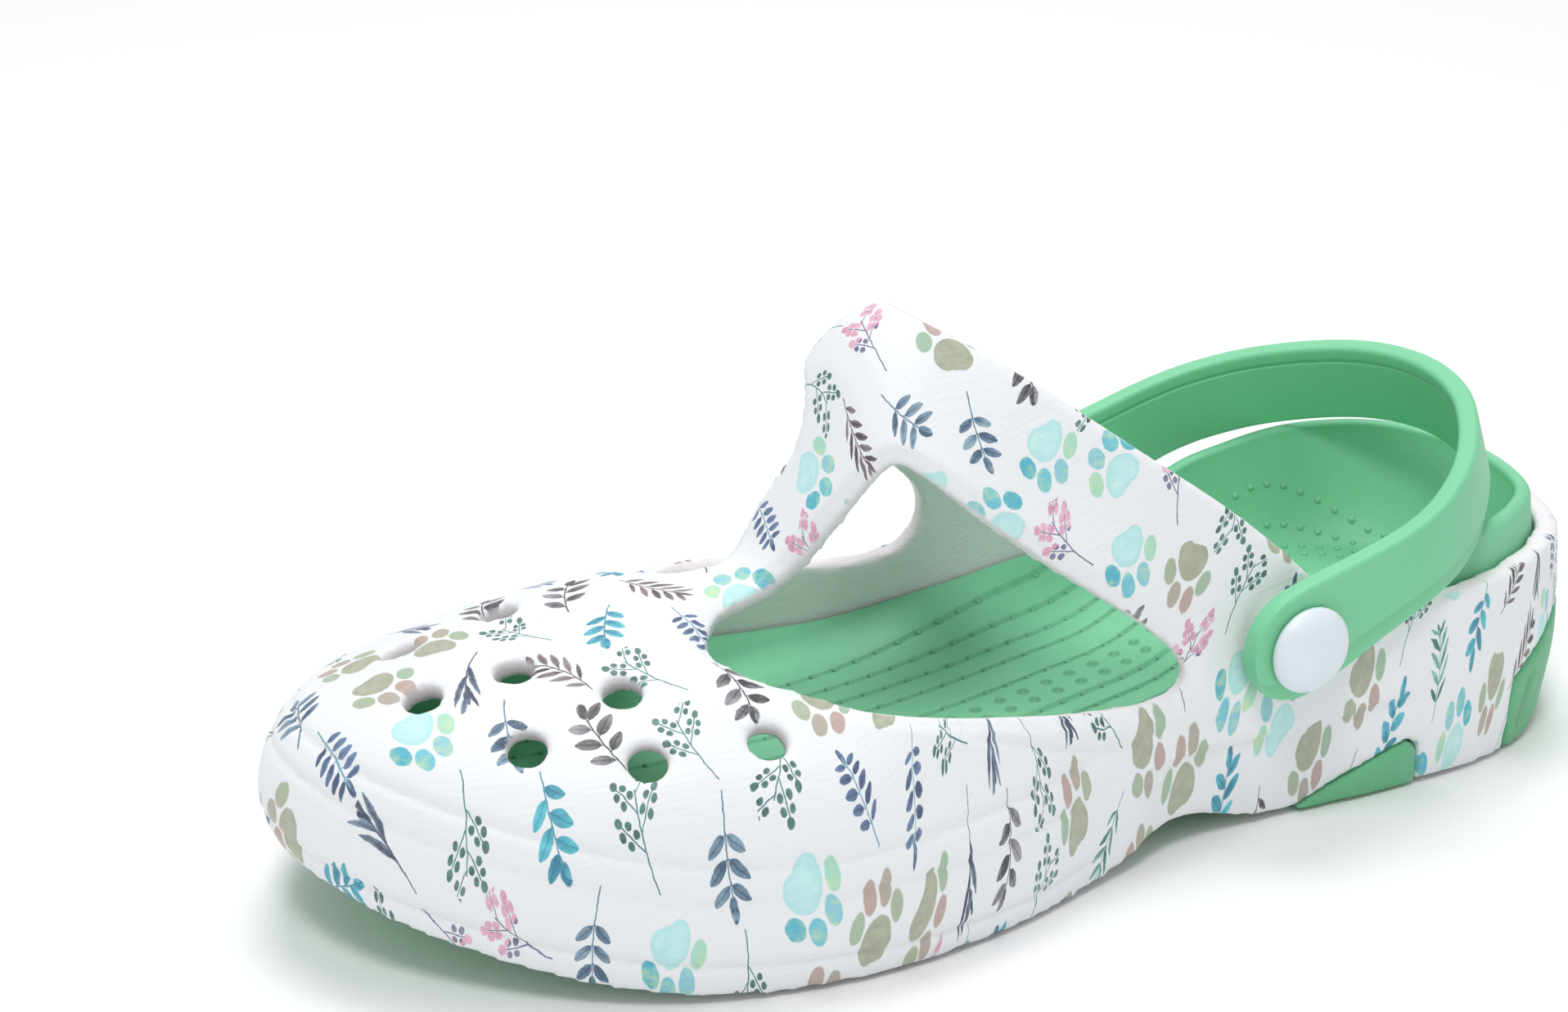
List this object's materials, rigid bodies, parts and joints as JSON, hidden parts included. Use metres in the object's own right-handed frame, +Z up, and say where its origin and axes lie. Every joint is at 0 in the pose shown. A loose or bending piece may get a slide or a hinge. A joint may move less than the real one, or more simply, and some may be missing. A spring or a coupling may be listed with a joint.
{
  "type": "rubber garden clog",
  "caption": "Left-foot foam garden clog with a printed upper, side windows, toe vents, green sole and footbed, and a heel strap that swings on two rivets.",
  "frame": {"origin": "centre of the bounding box at ground level, under the shoe", "axes": "+Z up, toe towards -Y, heel towards +Y, +X is the lateral side of this left shoe"},
  "size_m": [0.1113, 0.2748, 0.103],
  "materials": {
    "printed_foam": "matt moulded foam with a watercolour print",
    "sole_foam": "matt moulded foam",
    "footbed_foam": "matt moulded foam with raised massage nubs",
    "strap_foam": "satin moulded foam",
    "rivet_plastic": "satin white moulded plastic"
  },
  "bodies": {
    "shoe": {"upper_shell": "printed_foam", "outsole": "sole_foam", "footbed": "footbed_foam", "rivet_stud_left": "rivet_plastic", "rivet_stud_right": "rivet_plastic", "rivet_clasp_left": "rivet_plastic", "rivet_clasp_right": "rivet_plastic"},
    "strap": {"heel_strap": "strap_foam"}
  },
  "joints": [
    {"name": "strap_pivot", "type": "hinge", "parent": "shoe", "child": "strap", "pos_m": [-0.0013, 0.0466, 0.04], "axis": [1, 0, 0], "range_deg": [0, 100]}
  ]
}
